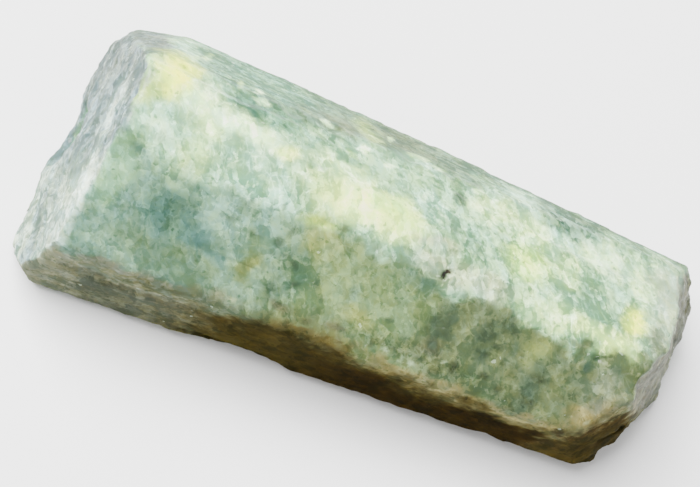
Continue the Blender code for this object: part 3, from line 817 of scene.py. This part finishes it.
# iron stain with painted shade: bronze, brown and then umber, darker further down and towards the broken
# end
tint = mix(tint, PALETTE["bronze"], stain_and_shade * between(below, 0.1, 0.75))
tint = mix(tint, PALETTE["brown"], stain_and_shade * between(below, 0.7, 1.35))
rises = between(x_mm, 8, 13)  # the umber comes higher up towards the broken end
deeper = between(below, 1.2 - 0.5 * rises, 2.0 - 0.6 * rises)
tint = mix(tint, PALETTE["umber"], stain_and_shade * deeper * between(x_mm, -6, 2) * between(x_mm, 22, 18))
print("stained points:", int(stain_and_shade.sum()), " dirty points:", int(near_side_by_step.sum()))

# %% [markdown]
# ## The heel, the underside and a black grain
#
# At the near corner of the broken end the stain climbs higher, behind a line that cuts across the
# corner: first a tan rim, then rust and brown. The underside is plain sea green. One black grain of
# another mineral sits in the milk of the crown. It is laid on the true places, because a border that
# wanders would tear so small a thing apart.

# %% Heel, underside and grain
HEEL_CORNER = (17.0, -8.2)  # millimetres along and across
HEEL_NORMAL = (0.581, -0.814)
BLACK_GRAIN = (((3.2, -1.25), (0.16, 0.40)), ((3.45, -0.9), (0.28, 0.20)))  # places and radii
GRAIN_RAMP = (1.4, 0.8)

past_heel = HEEL_NORMAL[0] * (x_mm - HEEL_CORNER[0]) + HEEL_NORMAL[1] * (y_mm - HEEL_CORNER[1])
heel_tan = 0.7 * between(x_mm, 14, 17) * between(y_mm, -3, -5) * between(below, 0.5, 0.1)
tint = mix(tint, PALETTE["tan"], between(past_heel, -1.6, -0.2) * heel_tan)
heel = between(past_heel, -0.2, 0.5) * between(x_mm, 15, 17) * between(y_mm, -2.5, -5) * (1 - rest_share)
tint = mix(tint, PALETTE["rust"], heel)
tint = mix(tint, PALETTE["brown"], heel * between(past_heel, 0.3, 0.9) * 0.8)

stain_and_shade = np.maximum(stain_and_shade * between(below, 0.1, 0.9), heel)
grains = mix(grains, (0.3, 0.0), stain_and_shade)
grains = mix(grains, (0.35, 0.25), near_side_by_step * between(below, 0.3, 0.8))
tint = mix(tint, PALETTE["sea"], rest_share * 0.8)

for (x, y), (x_radius, y_radius) in BLACK_GRAIN:
    reach = np.hypot((places[:, 0] - x) / x_radius, (places[:, 1] - y) / y_radius)
    tint = mix(tint, PALETTE["grain"], top_share * between(reach, *GRAIN_RAMP))
print("mean colour of the stone:", tint.mean(0).round(3))

# %% [markdown]
# ## Handing the paint to the material
#
# A material can't see Python's arrays, so each is stored on the mesh as a named attribute, and an
# Attribute node reads it by its name. Besides colour, glass and frost, three more are stored: gloss,
# because the crown is wet-looking and the iron-stained side dull, and two that say where the shards
# line up in streaks along the crystal or in columns across it.

# %% Attributes
CROWN_GLOSS = 0.5
LEAST_GLOSS = 0.15
END_GLOSS = 0.3
SLOPE_DULL = 0.4
STAIN_DULL = 0.8
GLOSS_ROUNDS = 3

gloss = CROWN_GLOSS * between(upwards, 0.5, 0.85) + LEAST_GLOSS
gloss *= 1 - SLOPE_DULL * slope_share
gloss = np.where(end_share > 0.5, END_GLOSS, gloss) * (1 - STAIN_DULL * stain_and_shade)
streaks = (1 - end_share) * between(lean, 6, 28) * between(places[:, 0], 12, 2)
columns_share = (1 - end_share) * between(places[:, 0], -6, 4) * (0.5 + 0.5 * between(roll_off, 10, -20))


def paint(piece, name, values):
    """Stores one colour or number for each point under this name."""
    kind = "FLOAT_COLOR" if values.ndim == 2 else "FLOAT"
    layer = piece.data.attributes.new(name, kind, "POINT")
    if values.ndim == 2:
        values = np.column_stack([values, np.ones(len(values))])
        layer.data.foreach_set("color", values.astype(np.float32).ravel())
    else:
        layer.data.foreach_set("value", values.astype(np.float32))


paint(crystal, "tint", tint)
paint(crystal, "glass", grains[:, 0])
paint(crystal, "frost", grains[:, 1])
paint(crystal, "gloss", even_out(crystal, gloss[:, None], GLOSS_ROUNDS)[:, 0])
paint(crystal, "streak", streaks)
paint(crystal, "columns", columns_share)
print("attributes:", [layer.name for layer in crystal.data.attributes if layer.domain == "POINT"])

# %% [markdown]
# ## A short way to write nodes
#
# Milky beryl is a clear crystal full of cracks. Light that enters is scattered by the milk, so its
# material has subsurface scattering, and part of it passes through, so it also has some transmission
# with beryl's index of refraction. The pattern of the cracks takes some eighty nodes. Written one by
# one they would fill pages, so a few helpers make a node, fill in its inputs and return its output.

# %% Node helpers
aquamarine, shader = material_with("aquamarine")
crystal.data.materials.append(aquamarine)
tree = aquamarine.node_tree


def fill(socket, value):
    """Links another socket to this one, or sets its value."""
    if isinstance(value, bpy.types.NodeSocket):
        tree.links.new(value, socket)
    else:
        socket.default_value = value


def node(kind, settings=None, **inputs):
    """A new node. Inputs are given by name, with _ for a space, or by number, as i0, i1 and so on."""
    made = tree.nodes.new(kind)
    for name, value in (settings or {}).items():
        setattr(made, name, value)
    for name, value in inputs.items():
        numbered = name[0] == "i" and name[1:].isdigit()
        fill(made.inputs[int(name[1:])] if numbered else made.inputs[name.replace("_", " ")], value)
    return made


def math_node(operation, first, second=0.0, third=0.0):
    """Arithmetic on numbers."""
    return node("ShaderNodeMath", {"operation": operation}, i0=first, i1=second, i2=third).outputs[0]


def vector_node(operation, first, second):
    """Arithmetic on colours and places. SCALE takes a number as its second value."""
    second_name = "Scale" if operation == "SCALE" else "i1"
    made = node("ShaderNodeVectorMath", {"operation": operation}, i0=first, **{second_name: second})
    return made.outputs[0]


def ramp(value, low, high):
    """0 below low and 1 above high, with a soft step between them."""
    settings = {"interpolation_type": "SMOOTHSTEP"}
    return node("ShaderNodeMapRange", settings, Value=value, From_Min=low, From_Max=high).outputs["Result"]


def stretch(value, low, high, new_low, new_high):
    """Moves a value in a straight line from one range to another."""
    ends = {"From_Min": low, "From_Max": high, "To_Min": new_low, "To_Max": new_high}
    return node("ShaderNodeMapRange", Value=value, **ends).outputs["Result"]


def blend_colour(share, first, second):
    """The first colour moved towards the second by this share."""
    made = node("ShaderNodeMix", {"data_type": "RGBA", "blend_type": "MIX"}, i0=share, i6=first, i7=second)
    return made.outputs[2]


def cloudy(vector, scale, detail=2.0, roughness=0.5, distortion=0.0, output="Fac"):
    """A noise texture on these coordinates."""
    made = node("ShaderNodeTexNoise", Vector=vector, Scale=scale, Detail=detail, Roughness=roughness)
    made.inputs["Distortion"].default_value = distortion
    return made.outputs[output]


def painted(name, output="Fac"):
    """What was painted on the points under this name."""
    return node("ShaderNodeAttribute", {"attribute_name": name}).outputs[output]


print("material:", aquamarine.name)

# %% [markdown]
# ## Crooked coordinates
#
# Cracks in beryl wander, and their shards are longer one way than the other. Both can be had by
# bending the coordinates before the textures read them: a fine noise is added to the place, and
# Mapping nodes turn and stretch it. Four kinds are made: flakes on a slant, the same but crisper for
# the small shards, streaks along the crystal, and columns across it.

# %% Coordinates
FLAKE_TURN = (0, 0, math.radians(-63))
FLAKE_SCALE = (1.6, 1.0, 1.0)
STREAK_SCALE = (4.5, 1.0, 1.0)
COLUMN_TURN = (0, 0, math.radians(-12))
COLUMN_SCALE = (1.0, 3.5, 3.5)
CROOK_MM = 0.7
CRISP_SHARE = 0.45  # how crooked the crisp coordinates are, as a share of the others


def mapped(vector, turn, scale):
    """Coordinates that are turned, and stretched by this much along each axis."""
    made = node("ShaderNodeMapping", {"vector_type": "TEXTURE"}, Vector=vector, Rotation=turn, Scale=scale)
    return made.outputs["Vector"]


place = node("ShaderNodeTexCoord").outputs["Object"]
in_mm = vector_node("MULTIPLY", place, (1 / MM, 1 / MM, 1 / MM))
drift = vector_node("SUBTRACT", cloudy(in_mm, 1.1, 4.0, 0.65, output="Color"), (0.5, 0.5, 0.5))
crooked = vector_node("ADD", in_mm, vector_node("SCALE", drift, CROOK_MM))
less_crooked = vector_node("ADD", in_mm, vector_node("SCALE", drift, CROOK_MM * CRISP_SHARE))
slanted = mapped(crooked, FLAKE_TURN, FLAKE_SCALE)
crisp = mapped(less_crooked, FLAKE_TURN, FLAKE_SCALE)
streaky = mapped(crooked, (0, 0, 0), STREAK_SCALE)
columnar = mapped(crooked, COLUMN_TURN, COLUMN_SCALE)
print("coordinates bend by up to", CROOK_MM / 2, "mm")

# %% [markdown]
# ## Shards
#
# The cracks cut the crystal into shards from a fifth of a millimetre to two millimetres across. A Voronoi
# texture makes shards, and its Position output gives every point of one shard the same place to look up a
# slow noise. So a whole shard is dark or milky, and neighbouring ones are alike, as they are in the stone.
# Each shard also gets a slant of tone from one side to the other, a painted shading as if it were a small
# tilted facet. Four sizes are added up, and then the streaks and the columns.

# %% Tone of the shards


def shards(vector, size_mm, cluster_mm, own, slope):
    """Tone of the shards of this size, about 0 on average, with a slant across each shard, which is painted
    shading as if each shard were a small tilted facet, and a chance for each. Shards of one cluster are
    alike. own says how much each differs from its cluster, and slope how much its painted shading changes
    from side to side."""
    cells = node("ShaderNodeTexVoronoi", Vector=vector, Scale=1 / size_mm)
    slow = cloudy(cells.outputs["Position"], 1 / cluster_mm, 2.0, 0.6)
    chance = node("ShaderNodeSeparateColor", Color=cells.outputs["Color"]).outputs[0]
    tilt = vector_node("SUBTRACT", cells.outputs["Color"], (0.5, 0.5, 0.5))
    offset = vector_node("SUBTRACT", vector, cells.outputs["Position"])
    slant = node("ShaderNodeVectorMath", {"operation": "DOT_PRODUCT"}, i0=offset, i1=tilt).outputs["Value"]
    mixed = math_node("MULTIPLY_ADD", chance, own, slow)
    mixed = math_node("SUBTRACT", mixed, 0.5 + own / 2)
    return math_node("MULTIPLY_ADD", slant, slope / size_mm, mixed), slant, chance


large, _, _ = shards(slanted, 1.6, 4.0, 0.12, 0.3)
middling, middling_slant, _ = shards(slanted, 0.8, 2.2, 0.18, 0.4)
small, small_slant, _ = shards(crisp, 0.4, 1.3, 0.30, 0.7)
tiny, _, tiny_chance = shards(crooked, 0.2, 0.9, 0.30, 0.5)
tone = math_node("MULTIPLY_ADD", large, 1.25, math_node("MULTIPLY", middling, 1.12))
tone = math_node("MULTIPLY_ADD", small, 0.6, tone)
tone = math_node("MULTIPLY_ADD", tiny, 0.25, tone)

for vector, scale, name in ((streaky, 2.2, "streak"), (columnar, 1.1, "columns")):
    line = math_node("SUBTRACT", cloudy(vector, scale), 0.5)
    tone = math_node("MULTIPLY_ADD", line, painted(name), tone)
print("nodes so far:", len(tree.nodes))

# %% [markdown]
# ## Dark pockets, pale shards, veins, glints and pits
#
# Where the crystal is clear the light goes in and doesn't come back, so it looks dark. Where it is cracked
# it looks pale, and a thin pale vein shows between two shards. The tone is cut twice with a soft step, once
# for the dark and once for the pale, and `glass` and `frost` say how much of each there is. A few of the
# tiny shards are painted as bright glints, which are painted highlights, and a few as pin-prick pits, which
# are dots of painted shade.

# %% Dark and pale
DARK_RAMP = (0.06, 0.30)
PALE_RAMP = (0.07, 0.31)
VEIN_STRENGTH = 0.95
VEIN_PATCHES = (0.42, 0.68)
GLINT_CHANCE = 0.008  # where the frost is 1
PIT_CHANCE = 0.014
PIT_SHADE = 0.6

glass = painted("glass")
frost = painted("frost")


def veins(vector, size_mm, wide):
    """Thin lines along the borders of shards of this size."""
    cells = node("ShaderNodeTexVoronoi", {"feature": "DISTANCE_TO_EDGE"}, Vector=vector, Scale=1 / size_mm)
    return ramp(cells.outputs["Distance"], wide, 0.0)


dark = ramp(math_node("MULTIPLY_ADD", glass, 0.12, math_node("MULTIPLY", tone, -1.0)), *DARK_RAMP)
dark = math_node("MULTIPLY", dark, math_node("MULTIPLY_ADD", glass, 0.9, 0.25))
pale = ramp(math_node("MULTIPLY_ADD", frost, 0.10, tone), *PALE_RAMP)
patchy = ramp(cloudy(crooked, 0.8, 3.0), *VEIN_PATCHES)
vein = math_node("MAXIMUM", veins(slanted, 1.2, 0.10), veins(crisp, 0.6, 0.11))
pale = math_node("MULTIPLY_ADD", math_node("MULTIPLY", vein, patchy), VEIN_STRENGTH, pale)
pale = math_node("MULTIPLY", pale, math_node("MULTIPLY_ADD", frost, 0.9, 0.3))

glint = math_node("GREATER_THAN", math_node("MULTIPLY_ADD", frost, GLINT_CHANCE, tiny_chance), 1.0)
pit = math_node("LESS_THAN", tiny_chance, PIT_CHANCE)
dark = math_node("MAXIMUM", dark, math_node("MULTIPLY", pit, PIT_SHADE))
print("nodes so far:", len(tree.nodes))

# %% [markdown]
# ## Colour
#
# The painted colour is the base. Slow clouds make it lighter and darker by a sixth, and a second
# noise makes it warmer and cooler, as more or less iron does. Dark pockets are multiplied by a deep
# green rather than by black, because clear beryl keeps its colour in the depth. Pale shards lift the
# colour towards white, and the lift is smaller where it is pale already, so milk never burns out.

# %% Base colour
DARK_SHADE = (0.22, 0.36, 0.29, 1)
PALE_GAIN = 1.1
WARM = (1.08, 1.0, 0.80, 1)
COOL = (0.94, 1.0, 1.10, 1)
WARM_RAMP = (0.32, 0.68)
GLINT = (0.70, 0.90, 0.65, 1)
GLINT_STRENGTH = 0.2
WHITE = (1, 1, 1, 1)

cloud = cloudy(in_mm, 0.45, 5.0, 0.65)
colour = vector_node("SCALE", painted("tint", "Color"), stretch(cloud, 0.3, 0.7, 0.85, 1.16))
warmth = cloudy(slanted, 0.9, 4.0, 0.7, 0.6)
colour = vector_node("MULTIPLY", colour, blend_colour(ramp(warmth, *WARM_RAMP), COOL, WARM))
colour = vector_node("MULTIPLY", colour, blend_colour(dark, WHITE, DARK_SHADE))
room = vector_node("SUBTRACT", WHITE[:3], colour)
lift = vector_node("SCALE", room, math_node("MULTIPLY", pale, PALE_GAIN))
colour = vector_node("MULTIPLY", colour, vector_node("ADD", lift, WHITE[:3]))
colour = blend_colour(math_node("MULTIPLY", glint, GLINT_STRENGTH), colour, GLINT)
tree.links.new(colour, shader.inputs["Base Color"])
print("nodes so far:", len(tree.nodes))

# %% [markdown]
# ## Gloss and depth
#
# The face of a prism is as smooth as glass and the stone below it is milky, so the gloss is a Coat
# over a dull body: the coat takes the reflections, and the body's own shine is switched off. The body
# scatters light to about half a millimetre, and the clear pockets pass some of it on. Bump is kept
# for the small tilts of the shards. All that shows as a shape is in the mesh already.

# %% Gloss
BERYL_IOR = 1.57
COAT_IOR = 1.5
COAT_ROUGHNESS = 0.17
SCATTER = 0.5
SCATTER_REACH = 0.5 * MM
SCATTER_COLOURS = (0.9, 1.0, 0.8)  # how far red, green and blue go, as shares of the reach
CLEAR_POCKETS, CLEAR_MILK = 0.22, 0.06  # transmission of the pockets, and of the milk round them
BUMP_STRENGTH = 0.5
BUMP_HEIGHT = 0.25 * MM

shader.inputs["IOR"].default_value = BERYL_IOR
shader.inputs["Specular IOR Level"].default_value = 0.0
shader.inputs["Subsurface Weight"].default_value = SCATTER
shader.inputs["Subsurface Radius"].default_value = SCATTER_COLOURS
shader.inputs["Subsurface Scale"].default_value = SCATTER_REACH
shader.inputs["Coat Roughness"].default_value = COAT_ROUGHNESS
shader.inputs["Coat IOR"].default_value = COAT_IOR
tree.links.new(painted("gloss"), shader.inputs["Coat Weight"])
through = math_node("MULTIPLY_ADD", dark, CLEAR_POCKETS, CLEAR_MILK)
tree.links.new(math_node("MULTIPLY", through, painted("gloss")), shader.inputs["Transmission Weight"])

grainy = cloudy(in_mm, 3.2, 4.0, 0.7)
tree.links.new(stretch(grainy, 0.3, 0.7, 0.30, 0.55), shader.inputs["Roughness"])
height = math_node("MULTIPLY_ADD", small_slant, 0.8, math_node("MULTIPLY", middling_slant, 0.6))
height = math_node("MULTIPLY_ADD", grainy, 0.15, height)
bump = node("ShaderNodeBump", Strength=BUMP_STRENGTH, Distance=BUMP_HEIGHT, Height=height)
tree.links.new(bump.outputs["Normal"], shader.inputs["Normal"])
tree.links.new(bump.outputs["Normal"], shader.inputs["Coat Normal"])
print(len(tree.nodes), "nodes in the crystal's material")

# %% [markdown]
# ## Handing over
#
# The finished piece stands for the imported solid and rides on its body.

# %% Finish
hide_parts(SOLID)
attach(crystal, "root")
